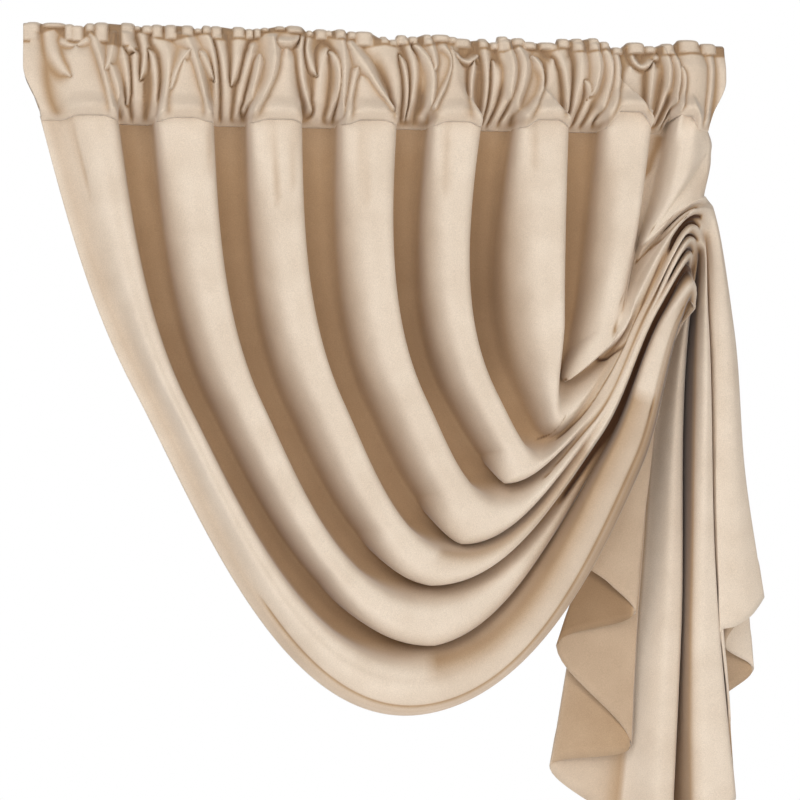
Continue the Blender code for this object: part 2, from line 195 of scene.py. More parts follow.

# Creases of the panel, each along a path of four places down the cloth and the fold line's number there,
# with its half width and depth, and how much shade is painted along it
CREASES = table(
    "name place_1 line_1 place_2 line_2 place_3 line_3 place_4 line_4 width sink tone",
    ("side hem's edge", 1.5, 1.0, 2.0, 1.0, 2.6, 1.0, 3.4, 1.0, 2.0, 1.0, 0.8),
    ("side hem on the arm", 3.3, 1.0, 3.6, 1.0, 4.0, 1.0, 4.4, 1.0, 1.6, 1.0, 0.3),
    ("below pleat 5", 2.45, 8.4, 3.0, 8.7, 3.6, 9.1, 4.6, 9.0, 2.2, 1.5, 1.0),
    ("slot below pleat 3", 2.7, 4.6, 3.3, 4.5, 3.8, 4.2, 4.5, 4.0, 5.0, 2.0, 1.3),
    ("hook of pleat 6", 1.80, 10.9, 1.95, 11.3, 2.04, 11.9, 2.1, 12.0, 2.5, 1.0, 0.9),
    ("below pleat 6", 2.3, 10.9, 2.9, 10.85, 3.2, 11.2, 3.6, 11.3, 2.5, 1.5, 1.0),
    ("lip of pleat 7", 1.9, 13.4, 2.3, 13.6, 3.2, 12.4, 3.6, 11.3, 2.5, 2.0, 1.2),
    ("shade beside pleat 7's top", 0.0, 15.0, 0.2, 14.95, 0.35, 14.85, 0.6, 14.75, 9.0, 0.0, 0.9),
    ("edge of pleat 7", 0.1, 14.42, 1.0, 14.36, 1.7, 14.34, 2.1, 14.3, 2.2, 0.6, 0.8),
    ("hook of pleat 7", 1.55, 14.16, 1.75, 14.1, 2.1, 14.04, 2.4, 13.94, 2.6, 1.6, 1.1),
    ("below pleat 7", 3.6, 11.3, 3.9, 11.9, 4.1, 12.7, 4.4, 13.1, 2.2, 1.0, 0.9),
    ("below pleat 8", 2.7, 15.0, 3.5, 15.0, 4.1, 14.9, 4.9, 14.1, 2.5, 1.5, 1.1),
    ("short crease of pleat 8", 1.6, 16.0, 2.1, 16.06, 3.1, 16.06, 3.9, 15.94, 2.0, 1.5, 1.2),
    ("pleat 1 at its ledge", 0.0, 1.3, 0.08, 1.3, 0.16, 1.32, 0.25, 1.34, 3.0, 2.0, 0.4),
    ("pleat 2 at its ledge", 0.0, 4.2, 0.06, 4.18, 0.1, 4.16, 0.16, 4.14, 4.0, 1.5, 0.3),
    ("pleat 3 at its ledge", 0.0, 5.8, 0.08, 5.8, 0.16, 5.82, 0.26, 5.84, 3.0, 2.0, 0.5),
    ("pleat 3, middle", 0.0, 6.14, 0.08, 6.12, 0.14, 6.1, 0.22, 6.08, 4.0, 1.5, 0.3),
    ("pleat 4 at its ledge", 0.0, 7.78, 0.08, 7.78, 0.18, 7.8, 0.28, 7.82, 6.0, 1.5, 0.25),
    ("pleat 5 at its ledge", 0.0, 9.74, 0.08, 9.74, 0.14, 9.76, 0.22, 9.78, 5.0, 1.5, 0.3),
    ("pleat 6 at its ledge", 0.0, 11.74, 0.08, 11.74, 0.12, 11.76, 0.18, 11.78, 5.0, 1.5, 0.3),
    ("shade beside pleat 1's hem", 2.0, 2.3, 2.3, 2.2, 2.8, 2.1, 3.4, 2.0, 20.0, 0.0, 0.8),
    ("shade on pleat 3's turn", 1.9, 6.3, 2.2, 6.3, 2.5, 6.3, 2.9, 6.2, 15.0, 0.0, 0.6),
    ("pocket below pleat 8", 4.3, 15.1, 4.56, 15.0, 4.9, 14.7, 5.2, 14.4, 3.0, 3.0, 1.5),
    ("pocket below pleat 7", 4.6, 12.9, 4.94, 12.9, 5.2, 12.7, 5.5, 12.5, 2.6, 3.0, 1.5),
    ("pocket below pleat 6", 4.5, 11.3, 4.94, 11.1, 5.2, 10.9, 5.5, 10.6, 2.6, 3.0, 1.5),
    ("pocket below pleat 5", 4.6, 8.9, 5.0, 8.9, 5.33, 8.9, 5.6, 8.8, 2.6, 3.0, 1.5),
    ("pocket below pleat 4", 4.4, 7.0, 4.67, 6.9, 5.06, 6.9, 5.5, 7.0, 2.6, 3.0, 1.6),
    ("pocket below pleat 3", 4.4, 5.0, 4.72, 5.0, 5.3, 5.0, 5.9, 5.2, 3.5, 3.5, 1.7),
)

# A crease ends over this share of a station. The side hem is a little darker between two stations.
CREASE_END = 0.06
STRIP_TONE = 0.25
STRIP_START = 1.2
STRIP_END = 3.5

# Painted shade of the heading: darker in the creases between its wrinkles and between the ruffle's rolls,
# fading out at its foot, over an even slight darkening of all its outer skin
CREASE_START = 0.3
PAINTED_CREASE_SHADE = 1.2
CREASE_FOOT = 10.0
HEADING_TONE = 0.15

# Depth of the pleats below the heading
RIDGE_Y = -26.0
VALLEY_Y = 16.0
EDGE_Y = -8.0
HEM_Y = -11.2

# Fold lines of the swag, from the left edge of the cloth to its right edge, as the frame has them
FOLDS = table(
    "name kind top_x side_x side_z side_y turn_x turn_z turn_y bend boxed",
    ("left edge", "edge", -384, -282, -410, -9, 56, -783, -6, 1.0, 0.0),
    ("side hem", "hem", -369, -265, -406, -14, 57, -770, -30, 1.0, 0.0),
    ("pleat 1", "ridge", -317, -234, -424, -34, 52, -740, -40, 1.0, 3.0),
    ("valley 1", "valley", -279, -202, -424, 28, 56, -694, 12, 1.0, 3.0),
    ("pleat 2", "ridge", -211, -151, -424, -34, 47, -669, -40, 1.0, 3.0),
    ("valley 2", "valley", -171, -115, -424, 28, 61, -629, 12, 1.0, 3.0),
    ("pleat 3", "ridge", -112, -59, -424, -34, 75, -613, -40, 0.9, 3.0),
    ("valley 3", "valley", -69, -20, -424, 28, 100, -579, 12, 0.9, 3.0),
    ("pleat 4", "ridge", -4, 37, -424, -34, 124, -556, -40, 0.8, 3.0),
    ("valley 4", "valley", 40, 77, -424, 28, 150, -513, 12, 0.8, 2.9),
    ("pleat 5", "ridge", 93, 120, -418, -34, 172, -497, -40, 0.6, 2.4),
    ("valley 5", "valley", 139, 152, -407, 26, 197, -471, 4, 0.6, 2.0),
    ("pleat 6", "ridge", 196, 200, -344, -34, 207, -444, -32, 0.5, 2.0),
    ("valley 6", "valley", 242, 231, -295, 22, 221, -397, 4, 0.5, 2.6),
    ("pleat 7", "ridge", 297, 285, -239, -30, 267, -353, -32, 0.45, 1.7),
    ("valley 7", "valley", 334, 324, -177, 17, 303, -251, 4, 0.5, 1.6),
    ("pleat 8", "ridge", 359, 344, -169, -28, 310, -237, -30, 0.5, 0.0),
    ("right edge", "edge", 385, 389, -126, -9, 388, -136, -10, 1.0, 0.0),
)

# The same lines on the arms that rise from the swag, higher up where the arms draw close, and where they
# enter the gather
ARMS = table(
    "name arm_x arm_z arm_y rise_x rise_z rise_y pinch_x pinch_z pinch_y",
    ("left edge", 302, -500, -20, 349, -330, -22, 360, -308, -14),
    ("side hem", 289, -493, -40, 341, -328, -40, 360, -302, -22),
    ("pleat 1", 266, -478, -46, 329, -325, -44, 359, -290, -34),
    ("valley 1", 262, -475, -20, 326, -322, -28, 360, -274, -13),
    ("pleat 2", 258, -471, -20, 323, -321, -27, 360, -268, -14),
    ("valley 2", 254, -468, -20, 321, -320, -28, 360, -264, -14),
    ("pleat 3", 248, -462, -41, 317, -319, -38, 354, -258, -34),
    ("valley 3", 244, -458, -37, 314, -317, -36, 360, -248, -16),
    ("pleat 4", 240, -455, -41, 312, -316, -37, 356, -239, -34),
    ("valley 4", 237, -452, -34, 310, -314, -35, 361, -232, -19),
    ("pleat 5", 233, -448, -37, 307, -313, -35, 360, -225, -32),
    ("valley 5", 235, -437, -25, 306, -312, -32, 363, -218, -20),
    ("pleat 6", 252, -396, -26, 304, -310, -30, 364, -214, -20),
    ("valley 6", 265, -368, -16, 300, -308, -31, 365, -210, -20),
    ("pleat 7", 280, -338, -36, 293, -307, -36, 362, -205, -30),
    ("valley 7", 301, -262, -2, 313, -248, -8, 367, -197, -18),
    ("pleat 8", 323, -225, -32, 340, -208, -32, 369, -191, -28),
    ("right edge", 387, -148, -11, 384, -162, -12, 378, -184, -14),
)

# The same lines past the gather: drawn tightest, coming out of it, and in the hem
TAILS = table(
    "name tie_x tie_z tie_y exit_x exit_z exit_y hem_x hem_z hem_y bow",
    ("front layer, hidden end", 372, -316, 2, 338, -356, -1, 241, -618, 1, 0),
    ("front layer", 373, -309, 4, 342, -356, 0, 272, -640, 2, 0),
    ("first right fold", 374, -302, 6, 347, -358, 7, 301, -676, 10, -6),
    ("first left fold", 373, -294, 10, 338, -358, 15, 211, -712, 20, -4),
    ("second right fold", 373, -286, 13, 347, -358, 23, 302, -832, 28, -8),
    ("second left fold", 370, -278, 18, 339, -358, 31, 207, -855, 37, -18),
    ("back layer", 373, -269, 24, 350, -358, 39, 286, -920, 44, -2),
    ("left column", 377, -260, 13, 363, -352, 17, 327, -938, 2, 0),
    ("deep slot", 381, -251, 18, 373, -350, 36, 350, -945, 40, 3),
    ("front column", 383, -243, 1, 382, -334, -10, 388, -932, -12, -5),
    ("narrow slot", 386, -234, 8, 391, -340, 12, 424, -885, 14, -10),
    ("right column, inner side", 388, -225, 0, 397, -335, -4, 401, -696, -6, -3),
    ("right column", 389, -216, -2, 404, -338, -8, 418, -689, -9, 0),
    ("right column, outer side", 390, -208, -3, 412, -340, -6, 439, -676, -6, -3),
    ("first outer fold", 392, -201, -1, 420, -341, 4, 456, -657, 5, -6),
    ("outer left fold", 392, -195, 4, 411, -342, 16, 414, -713, 19, 0),
    ("second outer fold", 390, -190, 10, 418, -342, 25, 451, -744, 28, 0),
    ("right edge", 386, -186, 12, 404, -342, 33, 418, -776, 37, 0),
)

# Stations along the cloth: how many rows of faces lead to the next one, and how full the folds are
STATIONS = table(
    "name rows fullness",
    ("top", 4, 1.15),
    ("side", 10, 1.35),
    ("turn", 8, 1.1),
    ("arm", 4, 0.9),
    ("rise", 3, 0.8),
    ("pinch", 3, 0.7),
    ("tie", 3, 0.6),
    ("exit", 3, 0.9),
    ("fall", 3, 1.1),
    ("hem", 0, 1.1),
)
TURN = 2
TIE = 6

# How loosely the cloth leaves the tie, how far down the tail the fall lies, and how fine the panel is
TIE_LOOSENESS = 0.4
FALL_SHARE = 0.55
FINER_ALONG = 5
PANEL_STEPS_ACROSS = 12

# Section of the pleats, from a ridge down to the next valley and from a valley up to the next ridge, at
# places down the cloth from station 0 on: three points of the wall, each as its share of the way across and
# of the way to the next line's depth. Further down than its boxed place a fold is a rounded wave.
SECTION = "place across_1 deep_1 across_2 deep_2 across_3 deep_3"
WALLS_DOWN = table(
    SECTION,
    (0.0, 0.42, 0.10, 0.50, 0.92, 0.75, 1.0),
    (1.0, 0.30, 0.08, 0.38, 0.92, 0.68, 1.0),
    (1.7, 0.30, 0.08, 0.40, 0.80, 0.68, 1.0),
    (2.0, 0.30, 0.08, 0.58, 0.50, 0.86, 0.90),
    (3.0, 0.30, 0.08, 0.60, 0.45, 0.85, 0.85),
)
WALLS_UP = table(
    SECTION,
    (0.0, 0.28, 0.04, 0.38, 0.90, 0.66, 1.0),
    (0.35, 0.22, 0.06, 0.38, 0.60, 0.68, 0.97),
    (1.0, 0.14, 0.08, 0.36, 0.52, 0.66, 0.94),
    (1.6, 0.14, 0.08, 0.36, 0.52, 0.66, 0.94),
    (2.0, -0.30, 0.35, -0.38, 0.75, 0.20, 0.98),
    (3.0, -0.1, 0.35, 0.0, 0.75, 0.4, 0.98),
)
FIRST_PLEAT = 2
LAST_PLEAT = 16

# The same for the tail's columns and the slots between them, and where their section has set in
COLUMNS_DOWN = table(
    SECTION,
    (6.0, 0.30, 0.16, 0.55, 0.55, 0.80, 0.88),
    (8.0, 0.44, 0.05, 0.80, 0.16, 0.93, 0.62),
    (9.0, 0.44, 0.05, 0.80, 0.16, 0.93, 0.62),
)
COLUMNS_UP = table(
    SECTION,
    (6.0, 0.20, 0.12, 0.45, 0.45, 0.70, 0.84),
    (8.0, 0.07, 0.38, 0.20, 0.84, 0.56, 0.95),
    (9.0, 0.38, 0.50, 0.50, 0.90, 0.76, 0.97),
)
FIRST_COLUMN = 7
LAST_COLUMN = 11
COLUMN_START = 6.2

# The panel's top is tucked up into the heading by this much above its lower edge
TUCK = 6.0
TUCK_REACH = 10.0
TUCK_ROWS = 4

# Heading: how far its front and back stand from the middle, and how far the middle follows the pleats
BANDS = table(
    "z front back follow",
    (-112.0, 1.5, 1.8, 1.0),
    (-106.0, 5.0, 5.5, 0.93),
    (-94.0, 9.5, 12.0, 0.66),
    (-78.0, 12.5, 16.0, 0.36),
    (-55.0, 14.5, 18.0, 0.18),
    (-36.0, 13.5, 17.0, 0.14),
    (-24.0, 9.0, 12.0, 0.12),
    (-12.0, 6.5, 9.0, 0.1),
    (-4.0, 5.0, 7.0, 0.1),
    (0.0, 1.5, 2.0, 0.1),
)
HEADING_TOP_LEFT = -404.0
HEADING_TOP_RIGHT = 404.0
HEADING_STEPS_ACROSS = 40
FRONT_ROWS = 84
BACK_ROWS = 26
LINING_ROWS = 8

# The heading's columns spread evenly over the evening height. Its skins keep to the pleats at its foot, fade
# from them above that, and close over the crown. The band is read no higher than its top.
EVENING_HEIGHT = 56.0
FOOT_HOLD = 5.0
FOOT_FADE = 24.0
CROWN = 4.0
BAND_TOP = -0.2

# Rows of the front's lower edge, turned in: how far behind the pleats and above the foot each lies. The rest
# of the front starts above them.
TURNED_IN = table("behind above", (0.6, 5.0), (-0.2, 0.4))
FRONT_START = 2.0

# What the heading's skins are built on: the pleats' line, how far forward it lies, and the two edges
Pocket = namedtuple("Pocket", "seam pleat top_x top_z foot")

# Wrinkles lie lower at the heading's foot; the back's gathers stand out and fade there
SETTLED = 0.35
SETTLE_HEIGHT = 14.0
BACK_GATHER = 5.0
BACK_SINK = 4.0
BACK_FADE = 30.0

# The pocket's lining: its foot and top within the skins, and how far it stays from them
LINING_FOOT = 6.0
LINING_TOP = 5.0
FRONT_GAP = 2.5
FRONT_LEAST = 0.2
BACK_GAP = 5.5
BACK_LEAST = 0.6
# The whole lining inside the pocket is painted with the shade of a fold's floor
PAINTED_LINING_SHADE = 1.0

# The puffs' lips over the pleats, a knot at both corners of each, and the round rim of the lower edge
LIP = 2.0
LIP_START = 3.0
LIP_HEIGHT = 22.0
KNOT_RISE = 4.0
KNOT_SIZE = 7.0
KNOT_Z = 6.0
RIM_REACH = 1.2
RIM_HEIGHT = 9.0

# How high the lower edge arches over each pleat
ARCHES = table(
    "x half_width rise",
    (-330, 34, 5),
    (-225, 28, 4),
    (-118, 30, 4),
    (-12, 30, 5),
    (85, 28, 5),
    (192, 28, 9),
    (288, 30, 20),
    (352, 20, 16),
)
ARCH_STEEP = 1.6

# Wrinkles of the heading's front, each a soft ridge through three places with its half width there
WRINKLES = table(
    "name x_1 z_1 w_1 x_2 z_2 w_2 x_3 z_3 w_3 height",
    ("left hem strip", -398, -4, 9, -396, -60, 9, -383, -108, 10, 4),
    ("hem fold", -376, -7, 5, -368, -40, 6, -352, -62, 7, 5),
    ("pleat 1 puff", -346, -28, 11, -339, -62, 19, -331, -91, 26, 8),
    ("pleat 1 right", -328, -12, 5, -318, -44, 5, -304, -104, 5, 9),
    ("pleat 1 top", -360, -23, 5, -347, -27, 4, -334, -21, 5, 6),
    ("valley 1 a", -303, -12, 4, -308, -42, 4, -315, -56, 4, 8),
    ("valley 1 b", -308, -48, 4, -300, -70, 5, -289, -105, 5, 9),
    ("valley 1 c", -295, -28, 4, -288, -59, 4, -289, -90, 4, 8),
    ("valley 1 fat", -291, -4, 8, -289, -20, 7, -280, -33, 5, 13),
    ("valley 1 d", -279, -32, 5, -280, -56, 5, -277, -105, 6, 9),
    ("valley 1 e", -272, -13, 5, -269, -38, 4, -274, -64, 3, 9),
    ("valley 1 f", -265, -30, 4, -257, -59, 4, -260, -105, 5, 9),
    ("pleat 2 left", -256, -19, 5, -244, -43, 6, -251, -105, 6, 9),
    ("pleat 2 star a", -230, -13, 5, -216, -30, 5, -198, -105, 5, 10),
    ("pleat 2 star b", -218, -30, 5, -230, -46, 5, -240, -75, 6, 8),
    ("pleat 2 puff", -225, -42, 7, -225, -68, 16, -223, -91, 23, 7),
    ("valley 2 a", -207, -32, 4, -198, -47, 4, -191, -66, 3, 8),
    ("valley 2 b", -199, -11, 5, -191, -43, 4, -189, -104, 5, 10),
    ("valley 2 c", -188, -14, 5, -180, -50, 5, -177, -103, 6, 10),
    ("valley 2 d", -163, -17, 5, -166, -42, 5, -172, -68, 4, 9),
    ("valley 2 f", -148, -24, 4, -157, -56, 4, -165, -101, 5, 9),
    ("valley 2 g", -140, -35, 4, -145, -60, 4, -157, -94, 5, 9),
    ("pleat 3 left", -125, -13, 5, -126, -56, 7, -148, -98, 6, 12),
    ("pleat 3 right", -90, -5, 5, -93, -48, 5, -82, -93, 6, 11),
    ("pleat 3 puff", -109, -28, 7, -110, -59, 12, -120, -90, 25, 7),
    ("pleat 3 ring", -98, -1, 8, -98, -15, 5, -117, -18, 5, 11),
    ("valley 3 a", -82, -6, 4, -85, -32, 4, -75, -56, 4, 9),
    ("valley 3 b", -63, -26, 4, -70, -51, 5, -73, -103, 8, 8),
    ("valley 3 c", -61, -28, 4, -50, -54, 4, -59, -101, 5, 9),
    ("valley 3 d", -49, -3, 6, -44, -42, 5, -49, -101, 5, 11),
    ("pleat 4 a", -37, -19, 5, -17, -50, 6, 11, -91, 7, 11),
    ("pleat 4 b", 2, -18, 11, 13, -50, 8, 18, -102, 5, 10),
    ("pleat 4 left", -29, -47, 4, -35, -68, 4, -42, -106, 5, 9),
    ("pleat 4 puff", -24, -58, 7, -18, -76, 12, -14, -94, 22, 7),
    ("valley 4 a", 20, -30, 4, 28, -61, 4, 28, -101, 4, 9),
    ("valley 4 b", 23, -4, 5, 36, -45, 4, 31, -100, 5, 11),
    ("valley 4 c", 38, -19, 4, 57, -52, 5, 49, -99, 5, 11),
    ("valley 4 d", 51, -5, 5, 58, -26, 5, 60, -48, 4, 11),
    ("pleat 5 left", 71, -20, 6, 78, -45, 5, 58, -90, 5, 10),
    ("pleat 5 puff", 81, -23, 11, 85, -57, 19, 85, -86, 23, 8),
    ("pleat 5 fork", 80, -21, 6, 95, -36, 6, 110, -29, 5, 10),
    ("pleat 5 right", 107, -33, 6, 103, -74, 7, 112, -107, 6, 10),
    ("valley 5 a", 117, -10, 5, 121, -52, 4, 117, -107, 4, 10),
    ("valley 5 b", 128, -35, 4, 130, -69, 5, 121, -107, 5, 9),
    ("valley 5 c", 140, -5, 6, 150, -51, 5, 130, -107, 6, 12),
    ("valley 5 d", 157, -19, 5, 164, -51, 5, 144, -102, 5, 11),
    ("pleat 6 left", 174, -30, 5, 186, -59, 5, 164, -98, 6, 10),
    ("pleat 6 right", 207, -23, 11, 215, -61, 7, 216, -101, 6, 10),
    ("pleat 6 puff", 198, -33, 11, 195, -68, 15, 190, -89, 23, 8),
    ("valley 6 a", 227, -5, 6, 230, -41, 6, 221, -101, 6, 12),
    ("valley 6 b", 235, -56, 4, 241, -75, 4, 230, -105, 5, 8),
    ("valley 6 c", 246, -5, 6, 251, -43, 5, 240, -77, 4, 11),
    ("valley 6 d", 260, -19, 5, 265, -53, 5, 244, -105, 6, 10),
    ("pleat 7 left", 273, -25, 6, 272, -66, 7, 255, -100, 6, 10),
    ("pleat 7 fork", 292, -24, 5, 303, -38, 5, 321, -26, 6, 9),
    ("pleat 7 right", 318, -29, 6, 314, -69, 8, 313, -110, 6, 10),
    ("pleat 7 puff", 290, -40, 13, 290, -66, 21, 286, -81, 28, 8),
    ("valley 7 a", 327, -13, 4, 335, -45, 4, 322, -99, 4, 9),
    ("valley 7 b", 339, -20, 4, 346, -54, 4, 329, -106, 4, 10),
    ("pleat 8 puff", 367, -25, 17, 365, -64, 19, 356, -99, 21, 9),
    ("pleat 8 left", 349, -37, 5, 352, -64, 6, 336, -101, 6, 9),
    ("right hem", 384, -10, 5, 385, -51, 5, 378, -103, 5, 7),
    ("right hem strip", 398, -8, 7, 401, -60, 7, 394, -105, 7, 4),
)
WRINKLE_POINTS = 12

# A wrinkle tapers towards a tip that lies away from the heading's edges
TIP_SHARE = 0.35
TIP_TAPER = 0.65
TAPER_FOOT = -96.0
TAPER_TOP = -18.0
TAPER_FADE = 12.0

# Wrinkles are sharp between the pleats and softer on them, and give way to the ruffle at the top
WRINKLE_RISE = 1.15
WRINKLE_REACH = 45.0
SOFT_WIDTH = 1.2
SOFT_BLEND = 1.2
SOFT_ON_PLEATS = 0.55
WRINKLE_FAR = 12.0
RUFFLE_TOP = -4.0
RUFFLE_FADE = 10.0

# Small rolls of the ruffle, from the left to the right
TUBES = table(
    "x half_width top foot",
    (-397, 10.6, -0.6, -23),
    (-393, 7.9, 0.7, -14),
    (-370, 13.2, 0.4, -7),
    (-353, 5.3, -0.9, -22),
    (-344, 7.0, -2.4, -23),
    (-330, 5.3, 0.5, -11),
    (-317, 7.9, 1.7, -23),
    (-288, 7.9, 2.4, -27),
    (-277, 3.5, -0.8, -8),
    (-266, 6.2, 0.3, -11),
    (-255, 6.2, 1.5, -16),
    (-240, 7.0, 1.0, -18),
    (-221, 7.0, 0.6, -14),
    (-209, 4.4, -2.6, -10),
    (-199, 5.3, 1.1, -10),
    (-188, 6.2, 1.3, -16),
    (-163, 7.0, 1.1, -14),
    (-151, 4.4, -1.2, -15),
    (-142, 3.9, -1.0, -14),
    (-133, 4.4, 0.1, -6),
    (-116, 6.2, 2.2, -4),
    (-99, 9.7, 3.5, -7),
    (-82, 3.9, -1.3, -10),
    (-69, 7.0, 0.7, -14),
    (-60, 3.9, -0.8, -10),
    (-47, 6.2, 0.4, -13),
    (-34, 5.3, -1.9, -13),
    (-20, 10.6, -1.6, -21),
    (3, 4.4, -6.3, -17),
    (14, 5.3, -9.5, -19),
    (24, 6.2, -4.0, -18),
    (37, 5.3, -5.5, -16),
    (53, 5.3, -3.4, -18),
    (69, 10.6, -3.0, -14),
    (83, 5.3, -5.3, -15),
    (94, 10.6, -6.6, -20),
    (118, 5.3, -6.1, -19),
    (131, 4.3, -10.0, -21),
    (141, 6.4, -3.4, -23),
    (159, 7.4, -5.1, -16),
    (172, 8.5, -9.1, -20),
    (194, 10.6, -8.6, -20),
    (213, 7.4, -3.9, -17),
    (229, 6.4, -3.5, -21),
    (248, 6.4, -3.0, -20),
    (261, 5.3, -7.0, -18),
    (276, 6.4, -13.1, -24),
    (299, 10.6, -6.2, -22),
    (316, 6.4, -10.1, -21),
    (336, 7.4, -7.5, -23),
    (361, 12.8, -2.6, -20),
    (385, 9.6, -6.3, -22),
)
TUBE_RISE = 8.0
TUBE_GAP = 3.0
TUBE_ROUND = 4.0
TUBE_BULGE = 3.0

# Gathers of the heading's back, worked out with uneven spacing
GATHERS = 46
GATHER_WIDTHS = (0.6, 1.4)
GATHER_HEIGHTS = (0.7, 1.1)
GATHER_SEED = 7


def smoothstep(value):
    """Eases from 0 to 1."""
    value = np.clip(value, 0.0, 1.0)
    return value * value * (3.0 - 2.0 * value)


def cubic(start, end, leave, arrive, t):
    """One cubic piece from start to end at t from 0 to 1, with its tangents at both."""
    rise = t * t * (3.0 - 2.0 * t)
    return start * (1.0 - rise) + end * rise + leave * (t * (1.0 - t) ** 2) + arrive * (t * t * (t - 1.0))


def hermite(start, end, leave, arrive, t):
    """Points of one cubic piece at parameters t, which run along a new first axis."""
    return cubic(start, end, leave, arrive, t.reshape((-1,) + (1,) * start.ndim))


def column_at(values, rows, key, field):
    """A column of a table at values of its key column, evenly from row to row."""
    return np.interp(values, [getattr(row, key) for row in rows], [getattr(row, field) for row in rows])


def unit(vectors):
    """The same vectors at length 1."""
    return vectors / np.maximum(np.linalg.norm(vectors, axis=-1, keepdims=True), 1e-9)


def depth_at_top(fold):
    """Depth of a fold line where it leaves the heading."""
    return {"ridge": RIDGE_Y, "valley": VALLEY_Y, "edge": EDGE_Y, "hem": HEM_Y}[fold.kind]


def station_points():
    """Place of each fold line at each station: an array of stations by lines by X, Y and Z."""
    points = []
    for fold, arm, tail in zip(FOLDS, ARMS, TAILS):
        top_y = depth_at_top(fold)
        start = np.array((tail.exit_x, tail.exit_y, tail.exit_z), float)
        end = np.array((tail.hem_x, tail.hem_y, tail.hem_z), float)
        fall = start + (end - start) * FALL_SHARE + np.array((tail.bow, 0.0, 0.0))
        points.append((
            (fold.top_x, top_y, SEAM_Z),
            (fold.side_x, fold.side_y, fold.side_z),
            (fold.turn_x, fold.turn_y, fold.turn_z),
            (arm.arm_x, arm.arm_y, arm.arm_z),
            (arm.rise_x, arm.rise_y, arm.rise_z),
            (arm.pinch_x, arm.pinch_y, arm.pinch_z),
            (tail.tie_x, tail.tie_y, tail.tie_z),
            tuple(start),
            tuple(fall),
            tuple(end),
        ))
    return np.array(points, float).transpose(1, 0, 2)


def run_along(points, finer):
    """Rows of points along the fold lines, the fullness of the folds there, and each row's station."""
    chords = np.diff(points, axis=0)
    lengths = np.linalg.norm(chords, axis=2, keepdims=True)
    slopes = chords / lengths
    tangents = np.empty_like(points)
    near, far = lengths[:-1], lengths[1:]
    tangents[1:-1] = (slopes[:-1] * far + slopes[1:] * near) / (near + far)
    tangents[0] = slopes[0] + (slopes[0] - tangents[1]) / 2.0
    tangents[-1] = slopes[-1]
    tangents[TURN] /= np.linalg.norm(tangents[TURN], axis=1, keepdims=True)
    bends = np.array([fold.bend for fold in FOLDS])[:, None]
    rows, fullness, places = [], [], []
    for index, station in enumerate(STATIONS[:-1]):
        leave = tangents[index] * lengths[index]
        arrive = tangents[index + 1] * lengths[index]
        if index == TURN:
            leave = leave * bends
        if index == TIE:
            leave = leave * TIE_LOOSENESS
        if index + 1 == TURN:
            arrive = arrive * bends
        count = station.rows * finer
        t = np.arange(count) / count
        rows.append(hermite(points[index], points[index + 1], leave, arrive, t))
        following = STATIONS[index + 1].fullness
        fullness.append(station.fullness + (following - station.fullness) * t)
        places.append(index + t)
    rows.append(points[-1:])
    fullness.append(np.array([STATIONS[-1].fullness]))
    places.append(np.array([len(STATIONS) - 1.0]))
    return np.concatenate(rows), np.concatenate(fullness), np.concatenate(places)


def run_across(lines, fullness, steps):
    """A finer row of points across each row of fold lines, rounded over every ridge and valley."""
    chords = np.diff(lines, axis=1)
    lengths = np.linalg.norm(chords, axis=2, keepdims=True)
    slopes = np.empty_like(lines)
    slopes[:, 1:-1] = (chords[:, :-1] + chords[:, 1:]) / (lengths[:, :-1] + lengths[:, 1:])
    slopes[:, 0] = chords[:, 0] / lengths[:, 0]
    slopes[:, -1] = chords[:, -1] / lengths[:, -1]
    reach = lengths * fullness[:, None, None]
    t = np.arange(steps) / steps
    pieces = hermite(lines[:, :-1], lines[:, 1:], slopes[:, :-1] * reach, slopes[:, 1:] * reach, t)
    pieces = pieces.transpose(1, 2, 0, 3).reshape(len(lines), -1, 3)
    return np.concatenate((pieces, lines[:, -1:]), axis=1)


def section_points(sections, places):
    """Shares across and deep of the five points of a wall, for each row."""
    columns = [column_at(places, sections, "place", field) for field in sections[0]._fields[1:]]
    zero, one = np.zeros_like(places), np.ones_like(places)
    across = np.stack((zero, *columns[0::2], one))
    deep = np.stack((zero, *columns[1::2], one))
    return np.stack((across, deep), axis=2)


def section_curve(knots, steps):
    """The smooth curve through the five points of a wall, in steps pieces, for each row."""
    level = np.array((1.0, 0.0))
    slopes = np.empty_like(knots)
    slopes[1:-1] = (knots[2:] - knots[:-2]) / 2.0
    slopes[0] = (knots[1] - knots[0]) * level
    slopes[-1] = (knots[-1] - knots[-2]) * level
    count = steps // (len(knots) - 1)
    t = np.arange(count) / count
    pieces = hermite(knots[:-1], knots[1:], slopes[:-1], slopes[1:], t)
    return pieces.transpose(1, 0, 2, 3).reshape(steps, -1, 2)


def fold_piece(grid, lines, index, shares, weight):
    """Moves the cloth between one fold line and the next to its section, as far as the weight says."""
    start, end = lines[:, index], lines[:, index + 1]
    across, deep = shares[:, :, 0].T[:, :, None], shares[:, :, 1].T[:, :, None]
    folded = start[:, None] + (end - start)[:, None] * np.concatenate((across, deep, across), axis=2)
    steps = len(shares)
    piece = slice(index * steps, (index + 1) * steps)
    grid[:, piece] += (folded - grid[:, piece]) * weight[:, None, None]


def fold_pleats(grid, lines, places, steps):
    """Gives the rounded waves of the pleats and columns the walls and floors of their sections."""
    for index in range(FIRST_PLEAT, LAST_PLEAT):
        sections = WALLS_DOWN if FOLDS[index].kind == "ridge" else WALLS_UP
        shares = section_curve(section_points(sections, places), steps)
        fold_piece(grid, lines, index, shares, smoothstep(FOLDS[index].boxed - places))
    for index in range(FIRST_COLUMN, LAST_COLUMN):
        sections = COLUMNS_DOWN if TAILS[index].name.endswith("column") else COLUMNS_UP
        shares = section_curve(section_points(sections, places), steps)
        fold_piece(grid, lines, index, shares, smoothstep(places - COLUMN_START))
    return grid


